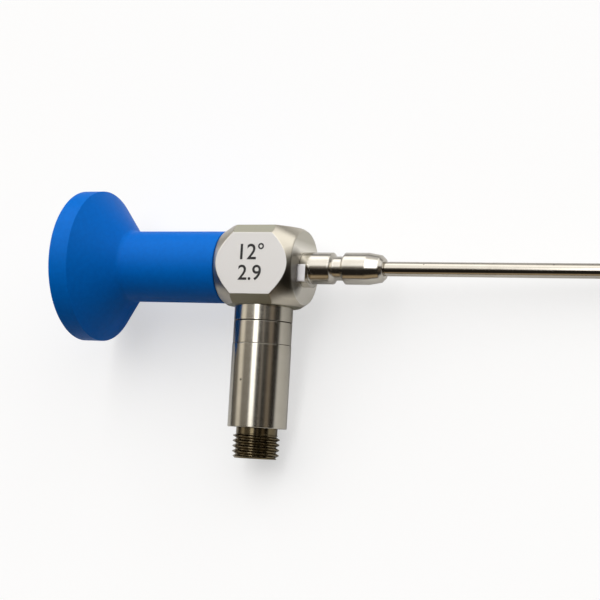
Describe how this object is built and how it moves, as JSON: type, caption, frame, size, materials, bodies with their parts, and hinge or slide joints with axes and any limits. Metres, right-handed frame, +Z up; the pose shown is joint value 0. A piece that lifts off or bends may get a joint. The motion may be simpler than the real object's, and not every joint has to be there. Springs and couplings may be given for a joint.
{
  "type": "rigid endoscope",
  "caption": "Rigid endoscope with a slim steel shaft, a blue funnel eyecup, a square steel hub and a side light post with a threaded end.",
  "frame": {"origin": "on the floor under the middle of the instrument as it lies at rest", "axes": "+Z up from the floor, +X along the shaft towards the tip as seen from above, the light post points to -Y, the marked flat of the hub faces up"},
  "size_m": [0.1692, 0.055, 0.0322],
  "materials": {
    "blue_plastic": "satin moulded engineering plastic",
    "black_rubber": "moulded",
    "satin_steel": "fine turned satin stainless steel",
    "polished_steel": "polished drawn stainless steel",
    "inner_steel": "as turned",
    "black_anodised": "matt black anodised",
    "optical_glass": "polished optical glass",
    "glass_fibre": "packed glass fibre, ground and polished at its ends"
  },
  "bodies": {
    "root": {"eyecup": "blue_plastic", "barrel_seal": "black_rubber", "ocular_tube": "black_anodised", "eyecup_oring": "black_rubber", "window_bezel": "polished_steel", "eyepiece_window": "optical_glass", "window_gasket": "black_rubber", "ocular_lock_ring": "black_anodised", "ocular_crown": "optical_glass", "ocular_flint": "optical_glass", "ocular_spacer": "black_anodised", "field_stop": "black_anodised", "optic_bush": "inner_steel", "hub": "satin_steel", "post_base": "satin_steel", "post_ring": "satin_steel", "post_core": "inner_steel", "post_sleeve": "satin_steel", "cone_ferrule": "inner_steel", "light_cone": "optical_glass", "light_window": "optical_glass", "light_fibres": "glass_fibre", "sheath_lock": "satin_steel", "shaft_tube": "polished_steel", "optic_tube": "inner_steel", "objective_lens": "optical_glass", "deflecting_prism": "optical_glass", "tip_window": "optical_glass", "rod_lens_1": "optical_glass", "rod_spacer_1": "inner_steel", "rod_lens_2": "optical_glass", "rod_spacer_2": "inner_steel", "rod_lens_3": "optical_glass", "rod_spacer_3": "inner_steel", "rod_lens_4": "optical_glass", "rod_spacer_4": "inner_steel", "rod_lens_5": "optical_glass", "rod_spacer_5": "inner_steel", "rod_lens_6": "optical_glass", "rod_spacer_6": "inner_steel"}
  },
  "joints": []
}
